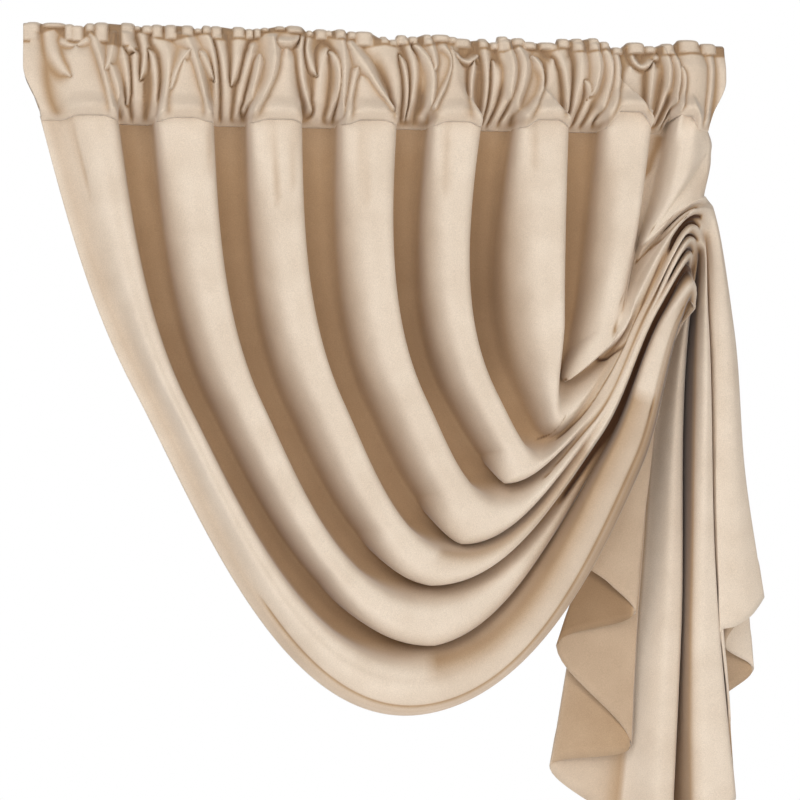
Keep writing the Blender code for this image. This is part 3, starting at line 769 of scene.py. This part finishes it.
def surface_normals(grid):
    """Unit normals of a grid of points, each the mean of both sides, so that a sharp fold keeps its own."""
    steps = unit(np.diff(grid, axis=0))
    down = unit(np.concatenate((steps[:1], steps[:-1] + steps[1:], steps[-1:])))
    chords = np.diff(grid, axis=1)
    normals = np.zeros_like(grid)
    normals[:, :-1] += unit(np.cross(down[:, :-1], chords))
    normals[:, 1:] += unit(np.cross(down[:, 1:], chords))
    return unit(normals)


def split_quads(quads, points):
    """Two triangles for each quad, cut along its shorter diagonal."""
    first = np.linalg.norm(points[quads[:, 0]] - points[quads[:, 2]], axis=1)
    second = np.linalg.norm(points[quads[:, 1]] - points[quads[:, 3]], axis=1)
    turned = np.where((second < first)[:, None], np.roll(quads, -1, axis=1), quads)
    return np.concatenate((turned[:, [0, 1, 2]], turned[:, [0, 2, 3]]))


def grid_quads(index):
    """The quads of a grid of point numbers."""
    return np.stack((index[:-1, :-1], index[1:, :-1], index[1:, 1:], index[:-1, 1:]), axis=2).reshape(-1, 4)


def sheet_faces(front):
    """Triangles of a sheet with a front grid, then a back grid cut alike, closed along its four edges."""
    count = front.shape[0] * front.shape[1]
    index = np.arange(count).reshape(front.shape[:2])
    faces = split_quads(grid_quads(index), front.reshape(-1, 3))
    back = faces[:, ::-1] + count
    rim = np.concatenate((index[:, 0], index[-1, 1:], index[-2::-1, -1], index[0, -2:0:-1]))
    following = np.roll(rim, -1)
    edge = np.concatenate((
        np.stack((following, rim, rim + count), axis=1),
        np.stack((following, rim + count, following + count), axis=1),
    ))
    return np.concatenate((faces, back, edge))


def add_mesh(name, points, faces, material):
    """A smooth mesh object from points in millimetres, with its faces turned outwards."""
    if np.linalg.det(points[faces]).sum() < 0.0:
        faces = faces[:, ::-1]
    mesh = bpy.data.meshes.new(name)
    mesh.from_pydata((points * MM).tolist(), [], faces.tolist())
    mesh.materials.append(material)
    mesh.shade_smooth()
    mesh.update()
    piece = bpy.data.objects.new(name, mesh)
    bpy.context.scene.collection.objects.link(piece)
    return piece


def run_lengths(grid, axis):
    """Length of the cloth from its first row or column to each point."""
    steps = np.linalg.norm(np.diff(grid, axis=axis), axis=2)
    return np.concatenate((np.zeros_like(steps.take([0], axis)), np.cumsum(steps, axis=axis)), axis=axis)


def panel_grid():
    """The panel's middle surface with its tucked top, its distances from the hems and its rows' places."""
    lines, fullness, places = run_along(station_points(), FINER_ALONG)
    grid = run_across(lines, fullness, PANEL_STEPS_ACROSS)
    grid = fold_pleats(grid, lines, places, PANEL_STEPS_ACROSS)
    beside = [foot_heights(grid[0, :, 0] + step) for step in (-TUCK_REACH, 0.0, TUCK_REACH)]
    rise = np.max(beside, axis=0) - SEAM_Z + TUCK
    shares = np.linspace(1.0, 1.0 / TUCK_ROWS, TUCK_ROWS)
    tuck = grid[:1] + (shares[:, None] * rise[None, :])[:, :, None] * unit(grid[:1] - grid[1:2])
    grid = np.concatenate((tuck, grid))
    left, down = run_lengths(grid, 1), run_lengths(grid, 0)
    side = np.minimum(left, left[:, -1:] - left)
    return grid, side, down[-1:] - down, np.concatenate((np.zeros(TUCK_ROWS), places))


def crease_marks(middle, places):
    """How far the creases sink the cloth at each point, and the shade painted along them, with the side hem a
    little darker.
    """
    run = run_lengths(middle, 1)
    lines = np.arange(middle.shape[1]) / PANEL_STEPS_ACROSS
    sink, tone = np.zeros(run.shape), np.zeros(run.shape)
    for crease in CREASES:
        known = (crease.place_1, crease.place_2, crease.place_3, crease.place_4)
        path = np.interp(places, known, (crease.line_1, crease.line_2, crease.line_3, crease.line_4))
        there = np.array([np.interp(line, lines, row) for line, row in zip(path, run)])
        begun = smoothstep((places - crease.place_1) / CREASE_END + 0.5)
        unended = smoothstep((crease.place_4 - places) / CREASE_END + 0.5)
        shape = np.exp(-(((run - there[:, None]) / crease.width) ** 2)) * (begun * unended)[:, None]
        sink += crease.sink * shape
        tone += crease.tone * shape
    down = smoothstep(places - STRIP_START) * (1.0 - smoothstep(places - STRIP_END))
    tone += STRIP_TONE * (lines < 1.0)[None, :] * down[:, None]
    return sink, tone


def swell_of_hems(side, bottom):
    """How much thicker the cloth is where its hems are turned in, with their stitch lines sunk."""
    inside = np.maximum(SIDE_HEM - side, BOTTOM_HEM - bottom)
    turned = smoothstep(inside / HEM_STEP)
    side_line = np.exp(-(((side - SIDE_HEM + STITCH_INSET) / STITCH_WIDTH) ** 2))
    side_line *= bottom > BOTTOM_HEM - STITCH_WIDTH
    bottom_line = np.exp(-(((bottom - BOTTOM_HEM + STITCH_INSET) / STITCH_WIDTH) ** 2))
    return HEM_SWELL * turned - STITCH_SINK * np.maximum(side_line, bottom_line)


def crests_beside(height, reach):
    """Height of the highest point within reach columns of each point."""
    padded = np.pad(height, ((0, 0), (reach, reach)), mode="edge")
    shifted = [padded[:, shift:shift + height.shape[1]] for shift in range(2 * reach + 1)]
    return np.max(shifted, axis=0)


def painted_shade_depths(middle, facing, places):
    """Painted shade of each point, seen from one side: how deep it lies between crests, and the tail's
    painted shade.
    """
    height = -facing * middle[:, :, 1]
    deep = column_at(places, DEEP_FOLDS, "place", "depth")
    pleats = crests_beside(height, PANEL_STEPS_ACROSS) - height
    arms = crests_beside(height, ARM_STEPS_ACROSS) - height
    in_arms = smoothstep(places - ARM_START)[:, None]
    painted_shade = (pleats + (arms - pleats) * in_arms) / deep[:, None]
    lines = np.arange(middle.shape[1]) / PANEL_STEPS_ACROSS
    painted_shade *= column_at(lines, FLOOR_SHARES, "line", "share")
    tail = column_at(lines, PAINTED_TAIL_SHADES, "line", "tone")
    in_slot = np.interp(lines, SLOT_EDGES, (0.0, 1.0, 1.0, 0.0))
    to_foot = smoothstep((places - SLOT_TOP) / SLOT_REACH)
    tail = tail[None, :] * (1.0 - SLOT_LIGHT * in_slot[None, :] * to_foot[:, None])
    in_tail = smoothstep((places - TAIL_START) / TAIL_FADE)[:, None]
    return np.clip(painted_shade + (tail - painted_shade) * in_tail, 0.0, DEEPEST)


def set_painted_shade(piece, values):
    """Keeps the painted shade of the folds on the points for the velvet's colour."""
    layer = piece.data.attributes.new("painted_shade", "FLOAT", "POINT")
    layer.data.foreach_set("value", (values / DEEPEST).astype(np.float32))


def add_panel(material):
    """The draped panel as a fine sheet."""
    middle, side, bottom, places = panel_grid()
    half = (CLOTH / 2.0 + swell_of_hems(side, bottom))[:, :, None]
    sink, tone = crease_marks(middle, places)
    middle = middle - surface_normals(middle) * sink[:, :, None]
    normals = surface_normals(middle)
    points = np.concatenate((middle + normals * half, middle - normals * half)).reshape(-1, 3)
    panel = add_mesh("velvet_panel", points, sheet_faces(middle), material)
    # Painted shade on both faces, darker the deeper a point lies between crests; the front is also darker
    # along its creases
    front = np.minimum(painted_shade_depths(middle, 1.0, places) + tone, DEEPEST)
    back = painted_shade_depths(middle, -1.0, places)
    set_painted_shade(panel, np.concatenate((front.ravel(), back.ravel())))
    return panel


def band_values(z):
    """The band's front reach, back reach and following at heights z, smoothly between its rows."""
    heights = np.array([band.z for band in BANDS])
    index = np.clip(np.searchsorted(heights, z) - 1, 0, len(heights) - 2)
    span = heights[index + 1] - heights[index]
    t = np.clip((z - heights[index]) / span, 0.0, 1.0)
    found = []
    for column in ("front", "back", "follow"):
        values = np.array([getattr(band, column) for band in BANDS])
        slopes = np.gradient(values, heights)
        leave, arrive = slopes[index] * span, slopes[index + 1] * span
        found.append(cubic(values[index], values[index + 1], leave, arrive, t))
    return found


def wrinkle_distance(wrinkle, x, z):
    """Distance of the points x, z from one wrinkle's crest, as a share of its half width there."""
    t = np.linspace(0.0, 1.0, WRINKLE_POINTS)
    first = np.array((wrinkle.x_1, wrinkle.z_1, wrinkle.w_1), float)
    middle = np.array((wrinkle.x_2, wrinkle.z_2, wrinkle.w_2), float)
    last = np.array((wrinkle.x_3, wrinkle.z_3, wrinkle.w_3), float)
    weights = np.stack(((1 - t) * (1 - 2 * t), 4 * t * (1 - t), t * (2 * t - 1)))
    line = np.einsum("kt,kc->tc", weights, np.stack((first, middle, last)))
    near = (x > line[:, 0].min() - WRINKLE_REACH) & (x < line[:, 0].max() + WRINKLE_REACH)
    px, pz = x[near], z[near]
    tips = smoothstep((np.abs(2.0 * t - 1.0) - 1.0 + TIP_SHARE) / TIP_SHARE)
    free = smoothstep(np.minimum(line[:, 1] - TAPER_FOOT, TAPER_TOP - line[:, 1]) / TAPER_FADE)
    line[:, 2] *= 1.0 - TIP_TAPER * tips * free
    best = np.full(px.shape, WRINKLE_FAR)
    for start, end in zip(line[:-1], line[1:]):
        step = end - start
        along = ((px - start[0]) * step[0] + (pz - start[1]) * step[1]) / (step[0] ** 2 + step[1] ** 2)
        along = np.clip(along, 0.0, 1.0)
        away = np.hypot(px - start[0] - step[0] * along, pz - start[1] - step[1] * along)
        best = np.minimum(best, away / (start[2] + step[2] * along))
    distance = np.full(x.shape, WRINKLE_FAR)
    distance[near] = best
    return distance


def wrinkle_relief(x, z, softness):
    """Height of the wrinkles at the points x, z, and how near each point is to a crease between two."""
    nearest = np.full(x.shape, WRINKLE_FAR)
    second = np.full(x.shape, WRINKLE_FAR)
    height = np.zeros_like(x)
    total = np.ones_like(x)
    for wrinkle in WRINKLES:
        distance = wrinkle_distance(wrinkle, x, z)
        closer = distance < nearest
        second = np.where(closer, nearest, np.minimum(second, distance))
        height = np.where(closer, wrinkle.height, height)
        nearest = np.minimum(nearest, distance)
        ridge = wrinkle.height * np.exp(-(distance / SOFT_WIDTH) ** 2)
        total += np.expm1(ridge / SOFT_BLEND)
    crease = 2.0 * nearest / (nearest + second)
    sharp = height * (1.0 - crease ** 2)
    soft = SOFT_BLEND * np.log(total)
    return WRINKLE_RISE * (sharp + (soft - sharp) * softness), crease * (1.0 - softness / 2.0)


def tube_relief(x, z):
    """Height of the ruffle's rolls at the points x, z."""
    relief = np.zeros_like(x)
    for tube in TUBES:
        round_x = np.clip(1.0 - np.abs((x - tube.x) / tube.half_width) ** TUBE_BULGE, 0.0, 1.0)
        round_z = np.clip(1.0 - np.clip((tube.foot + TUBE_ROUND - z) / TUBE_ROUND, 0.0, 1.0) ** 2, 0.0, 1.0)
        relief = np.maximum(relief, TUBE_RISE * np.sqrt(round_x * round_z))
    return relief


def tube_tops(x):
    """Height of the heading's uneven top edge at places x."""
    tops = np.full(x.shape, -np.inf)
    for tube in TUBES:
        round_x = np.sqrt(np.clip(1.0 - np.abs((x - tube.x) / tube.half_width) ** TUBE_BULGE, 0.0, 1.0))
        tops = np.maximum(tops, np.where(round_x > 0.0, tube.top - TUBE_GAP * (1.0 - round_x), -np.inf))
    known = np.isfinite(tops)
    return np.interp(x, x[known], tops[known])


def foot_follow(follow, above_foot):
    """How far the pocket follows the pleats: wholly at its foot, then by the band's own share."""
    return follow + (1.0 - follow) * (1.0 - smoothstep((above_foot - FOOT_HOLD) / FOOT_FADE))


def gather_relief(x):
    """Height of an uneven row of small gathers at places x along the heading."""
    rng = np.random.default_rng(GATHER_SEED)
    widths = rng.uniform(*GATHER_WIDTHS, GATHERS)
    heights = rng.uniform(*GATHER_HEIGHTS, GATHERS)
    edges = np.concatenate(((0.0,), np.cumsum(widths))) / widths.sum()
    edges = HEADING_TOP_LEFT + (HEADING_TOP_RIGHT - HEADING_TOP_LEFT) * edges
    index = np.clip(np.searchsorted(edges, x) - 1, 0, GATHERS - 1)
    t = np.clip((x - edges[index]) / (edges[index + 1] - edges[index]), 0.0, 1.0)
    return heights[index] * np.sqrt(np.clip(4.0 * t * (1.0 - t), 0.0, 1.0))


def knot_relief(x, above_foot):
    """Height of the knots at the corners of the puffs' lips."""
    relief = np.zeros_like(x)
    for arch in ARCHES[:-1]:
        for corner in (arch.x - arch.half_width, arch.x + arch.half_width):
            away = np.hypot(x - corner, above_foot - KNOT_Z) / KNOT_SIZE
            relief += KNOT_RISE * np.exp(-away ** 2)
    return relief


def foot_heights(x):
    """Height of the heading's lower edge at places x: the stitch line, arched over the pleats."""
    rise = np.zeros_like(x)
    for arch in ARCHES:
        share = smoothstep(ARCH_STEEP - ARCH_STEEP * np.abs(x - arch.x) / arch.half_width)
        rise = np.maximum(rise, arch.rise * share)
    return SEAM_Z + rise


def pocket_outline():
    """The pleats' line where the pocket starts, how far forward it lies, and the heading's two edges."""
    lines, fullness, places = run_along(station_points(), 1)
    seam = run_across(lines[:1], fullness[:1], HEADING_STEPS_ACROSS)
    seam = fold_pleats(seam, lines[:1], places[:1], HEADING_STEPS_ACROSS)[0]
    pleat = smoothstep((VALLEY_Y - seam[:, 1]) / (VALLEY_Y - RIDGE_Y))
    top_x = HEADING_TOP_LEFT + (HEADING_TOP_RIGHT - HEADING_TOP_LEFT) * np.linspace(0.0, 1.0, len(seam))
    return Pocket(seam, pleat, top_x, tube_tops(top_x), foot_heights(seam[:, 0]))


def pocket_x(pocket, z):
    """Places of the pocket's columns at heights z, evenly spread towards its top."""
    risen = smoothstep((z - pocket.foot - FOOT_HOLD) / EVENING_HEIGHT)
    return pocket.seam[:, 0] + (pocket.top_x - pocket.seam[:, 0]) * risen


def skin_rows(pocket, y, z):
    """Points of a skin of the pocket at depths y and heights z."""
    return np.stack((pocket_x(pocket, z), y, z), axis=-1)


def skin_swell(pocket, reach, z):
    """How far a skin with this reach stands from the pleats, rounded in at its foot and its top edge."""
    rim = np.sqrt(1.0 - (1.0 - np.clip((z - pocket.foot) / RIM_HEIGHT, 0.0, 1.0)) ** 2)
    crown = np.sqrt(np.clip((pocket.top_z - z) / CROWN, 0.0, 1.0))
    return (RIM_REACH + (reach - RIM_REACH) * rim) * crown


def front_skin(pocket):
    """The front from its turned-in lower edge up, with its wrinkles and ruffle, and the shade painted into
    its creases.
    """
    shares = np.linspace(0.0, 1.0, FRONT_ROWS)[:, None]
    z = pocket.foot + FRONT_START + (pocket.top_z - pocket.foot - FRONT_START) * shares
    x = pocket_x(pocket, z)
    above_foot = z - pocket.foot
    reach, _, follow = band_values(np.minimum(z, BAND_TOP))
    relief, crease = wrinkle_relief(x, z, SOFT_ON_PLEATS * pocket.pleat)
    tubes = tube_relief(x, z)
    relief = np.maximum(relief * smoothstep((RUFFLE_TOP - z) / RUFFLE_FADE), tubes)
    settle = SETTLED + (1.0 - SETTLED) * smoothstep(above_foot / SETTLE_HEIGHT)
    lip = LIP * pocket.pleat * (1.0 - smoothstep((above_foot - LIP_START) / LIP_HEIGHT))
    reach = reach + relief * settle + lip + knot_relief(x, above_foot)
    y = pocket.seam[:, 1] * foot_follow(follow, above_foot) - skin_swell(pocket, reach, z)
    edge = [skin_rows(pocket, pocket.seam[:, 1] + row.behind, pocket.foot + row.above) for row in TURNED_IN]
    # Painted shade in the creases between wrinkles and in the gaps between the ruffle's rolls
    shadow = smoothstep((crease - CREASE_START) / (1.0 - CREASE_START))
    in_ruffle = smoothstep((z - column_at(x, TUBES, "x", "foot") + TUBE_ROUND) / TUBE_ROUND)
    shadow += (1.0 - np.clip(tubes / TUBE_RISE, 0.0, 1.0) - shadow) * in_ruffle
    tones = PAINTED_CREASE_SHADE * shadow * smoothstep(above_foot / CREASE_FOOT)
    return np.concatenate((np.stack(edge), skin_rows(pocket, y, z))), tones


def back_skin(pocket):
    """The plain back from the top edge down, with an uneven row of small gathers."""
    shares = np.linspace(0.0, 1.0, BACK_ROWS)[-2::-1, None]
    z = pocket.foot + (pocket.top_z - pocket.foot) * shares
    above_foot = z - pocket.foot
    _, reach, follow = band_values(np.minimum(z, BAND_TOP))
    gathers = BACK_GATHER * gather_relief(pocket.top_x) - BACK_SINK
    reach = reach + gathers * smoothstep(above_foot / BACK_FADE)
    y = pocket.seam[:, 1] * foot_follow(follow, above_foot) + skin_swell(pocket, reach, z)
    return skin_rows(pocket, y, z)


def pocket_lining(pocket):
    """The inner skin of the pocket, from its front foot over the top and down its back."""
    shares = np.linspace(0.0, 1.0, LINING_ROWS)[:, None]
    z = pocket.foot + LINING_FOOT + (pocket.top_z - LINING_TOP - pocket.foot - LINING_FOOT) * shares
    front, back, follow = band_values(z)
    middle = pocket.seam[:, 1] * foot_follow(follow, z - pocket.foot)
    front_wall = skin_rows(pocket, middle - np.maximum(front - CLOTH - FRONT_GAP, FRONT_LEAST), z)
    back_wall = skin_rows(pocket, middle + np.maximum(back - BACK_GAP, BACK_LEAST), z)
    return np.concatenate((front_wall, back_wall[::-1]))


def pocket_faces(outer_shape, inner_shape):
    """Faces of the pocket's outer and inner skins, joined at both feet and both ends."""
    count = outer_shape[0] * outer_shape[1]
    outer = np.arange(count).reshape(outer_shape)
    inner = count + np.arange(inner_shape[0] * inner_shape[1]).reshape(inner_shape)
    feet = np.stack((outer[:-1, 0], inner[:-1, 0], inner[1:, 0], outer[1:, 0]), axis=1)
    heels = np.stack((outer[:-1, -1], outer[1:, -1], inner[1:, -1], inner[:-1, -1]), axis=1)
    quads = np.concatenate((grid_quads(outer), grid_quads(inner)[:, ::-1], feet, heels))
    ends = end_cap(outer[0], inner[0], False) + end_cap(outer[-1], inner[-1], True)
    return np.concatenate((quads[:, [0, 1, 2]], quads[:, [0, 2, 3]], np.array(ends)))


def end_cap(outer, inner, turned):
    """Triangles of the narrow strip between the outer and the inner edge at one end of the pocket."""
    triangles = []
    at, beside = 0, 0
    last, last_beside = len(outer) - 1, len(inner) - 1
    while at < last or beside < last_beside:
        if beside == last_beside or (at < last and at / last <= beside / last_beside):
            triangle = (outer[at], outer[at + 1], inner[beside])
            at += 1
        else:
            triangle = (outer[at], inner[beside + 1], inner[beside])
            beside += 1
        triangles.append(triangle[::-1] if turned else triangle)
    return triangles


def add_heading(material):
    """The gathered rod pocket: its outer skin with wrinkles, and a plain inner skin."""
    pocket = pocket_outline()
    front, front_painted_shades = front_skin(pocket)
    outer = np.concatenate((front, back_skin(pocket))).transpose(1, 0, 2)
    inner = pocket_lining(pocket).transpose(1, 0, 2)
    points = np.concatenate((outer.reshape(-1, 3), inner.reshape(-1, 3)))
    heading = add_mesh("gathered_heading", points, pocket_faces(outer.shape[:2], inner.shape[:2]), material)
    # Painted shade of the front's creases, over an even darkening of the whole outer skin
    tones = np.zeros(outer.shape[:2])
    tones[:, len(TURNED_IN):len(front)] = front_painted_shades.T
    tones = HEADING_TONE + tones * (DEEPEST - HEADING_TONE) / DEEPEST
    # Painted shade over the whole lining
    lining_painted_shades = np.full(inner.shape[:2], PAINTED_LINING_SHADE)
    set_painted_shade(heading, np.concatenate((tones.ravel(), lining_painted_shades.ravel())))
    return heading


def finished_material(name, finish):
    """A material with the values of a finish on its shader's own sockets."""
    material = bpy.data.materials.new(name)
    material.use_nodes = True
    shader = material.node_tree.nodes["Principled BSDF"]
    for socket, value in finish.items():
        shader.inputs[socket].default_value = value
    return material


def add_noise(tree, scale, detail):
    """Noise in the object's own space."""
    place = tree.nodes.new("ShaderNodeTexCoord")
    noise = tree.nodes.new("ShaderNodeTexNoise")
    noise.inputs["Scale"].default_value = scale
    noise.inputs["Detail"].default_value = detail
    tree.links.new(place.outputs["Object"], noise.inputs["Vector"])
    return noise.outputs["Fac"]


def add_ramp(tree, value, stops):
    """Colours that follow a value through the stops."""
    ramp = tree.nodes.new("ShaderNodeValToRGB")
    elements = ramp.color_ramp.elements
    for element, stop in zip(elements, (stops[0], stops[-1])):
        element.position = stop.position
        element.color = stop.colour
    for stop in stops[1:-1]:
        elements.new(stop.position).color = stop.colour
    tree.links.new(value, ramp.inputs["Fac"])
    return ramp.outputs["Color"]


def add_product(tree, first, second):
    """Two colours multiplied."""
    product = tree.nodes.new("ShaderNodeMixRGB")
    product.blend_type = "MULTIPLY"
    product.inputs["Fac"].default_value = 1.0
    tree.links.new(first, product.inputs["Color1"])
    tree.links.new(second, product.inputs["Color2"])
    return product.outputs["Color"]


def velvet():
    """Cream velvet: soft mottled pile, a pale sheen and a fine grain, with shade painted darker into the
    folds.
    """
    material = finished_material("cream_velvet_fine", VELVET_FINISH)
    tree = material.node_tree
    shader = tree.nodes["Principled BSDF"]
    patches = add_noise(tree, PATCH_SCALE, PATCH_DETAIL)
    grain = add_noise(tree, GRAIN_SCALE, GRAIN_DETAIL)
    painted_shade = tree.nodes.new("ShaderNodeAttribute")
    painted_shade.attribute_name = "painted_shade"
    pile = add_product(tree, add_ramp(tree, patches, PATCHES), add_ramp(tree, grain, GRAINS))
    # Painted shade: the pile's colour darkens by the shade kept on the points
    shaded = add_product(tree, pile, add_ramp(tree, painted_shade.outputs["Fac"], PAINTED_FOLD_SHADES))
    tree.links.new(shaded, shader.inputs["Base Color"])
    bump = tree.nodes.new("ShaderNodeBump")
    bump.inputs["Strength"].default_value = GRAIN_BUMP
    bump.inputs["Distance"].default_value = GRAIN_HEIGHT
    tree.links.new(grain, bump.inputs["Height"])
    tree.links.new(bump.outputs["Normal"], shader.inputs["Normal"])
    return material


def add_stage():
    """A round white floor well below the curtain."""
    turns = [2.0 * math.pi * step / FLOOR_STEPS for step in range(FLOOR_STEPS)]
    points = [(FLOOR_RADIUS * math.cos(turn), FLOOR_RADIUS * math.sin(turn), FLOOR_Z) for turn in turns]
    mesh = bpy.data.meshes.new("studio_floor")
    mesh.from_pydata(points, [], [tuple(range(FLOOR_STEPS))])
    mesh.materials.append(finished_material("studio_white", FLOOR_FINISH))
    floor = bpy.data.objects.new("studio_floor", mesh)
    bpy.context.scene.collection.objects.link(floor)


def place_around(thing, azimuth, elevation, distance):
    """Puts a light or the camera around the curtain, facing it, in degrees from straight ahead."""
    turn, rise = math.radians(azimuth), math.radians(elevation)
    direction = Vector((math.sin(turn) * math.cos(rise), -math.cos(turn) * math.cos(rise), math.sin(rise)))
    thing.location = Vector(CAMERA_TARGET) + direction * distance
    thing.rotation_euler = (-direction).to_track_quat("-Z", "Y").to_euler()
    bpy.context.scene.collection.objects.link(thing)


def add_studio():
    """Soft light from the left, weaker ones from the right and behind, and an even sky that looks white."""
    for light in LIGHTS:
        data = bpy.data.lights.new(light.name, "AREA")
        data.energy = light.watts
        data.color = light.colour
        data.size = light.size
        place_around(bpy.data.objects.new(light.name, data), light.azimuth, light.elevation, light.distance)
    world = bpy.data.worlds.new("studio")
    world.use_nodes = True
    nodes = world.node_tree.nodes
    links = world.node_tree.links
    sky = nodes["Background"]
    sky.inputs["Color"].default_value = SKY_COLOUR
    sky.inputs["Strength"].default_value = SKY_STRENGTH
    seen = nodes.new("ShaderNodeBackground")
    seen.inputs["Color"].default_value = WHITE
    ray = nodes.new("ShaderNodeLightPath")
    either = nodes.new("ShaderNodeMixShader")
    links.new(ray.outputs["Is Camera Ray"], either.inputs["Fac"])
    links.new(sky.outputs["Background"], either.inputs[1])
    links.new(seen.outputs["Background"], either.inputs[2])
    links.new(either.outputs["Shader"], nodes["World Output"].inputs["Surface"])
    bpy.context.scene.world = world
    bpy.context.scene.view_settings.view_transform = "Standard"


def add_camera():
    """The camera at the photograph's angle and distance."""
    data = bpy.data.cameras.new("photo_view")
    data.angle = 2.0 * math.atan(HALF_VIEW / CAMERA_DISTANCE)
    camera = bpy.data.objects.new("photo_view", data)
    place_around(camera, CAMERA_AZIMUTH, 0.0, CAMERA_DISTANCE)
    bpy.context.scene.camera = camera


def main():
    """Builds the dressed curtain and its studio."""
    add_camera()
    add_studio()
    add_stage()
    material = velvet()
    heading = add_heading(material)
    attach(heading, "root")
    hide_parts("heading")
    panel = add_panel(material)
    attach(panel, "root")
    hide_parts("panel")


main()
